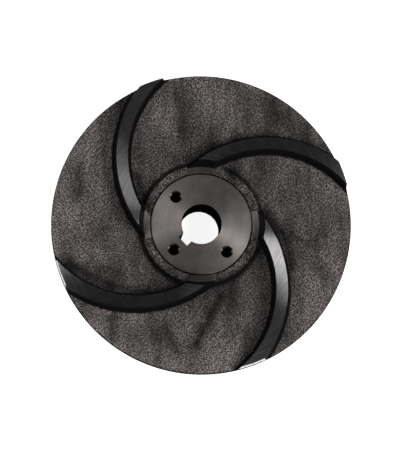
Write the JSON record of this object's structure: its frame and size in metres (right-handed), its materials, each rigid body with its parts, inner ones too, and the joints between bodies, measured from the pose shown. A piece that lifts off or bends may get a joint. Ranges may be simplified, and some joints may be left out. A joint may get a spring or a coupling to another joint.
{
  "type": "pump impeller",
  "caption": "Semi-open centrifugal pump impeller: a cast disc with curved vanes on one side, round a bored and keyed hub.",
  "frame": {"origin": "on the bore's axis at the rear hub face", "axes": "+Z along the bore and out of the vaned side, +X through the middle of the keyway"},
  "size_m": [0.152, 0.152, 0.039],
  "materials": {
    "coated_iron": "black dip coat over sand-cast iron, with turned faces on the pad, the vane tops and the rim"
  },
  "bodies": {
    "root": {"impeller": "coated_iron"}
  },
  "joints": []
}
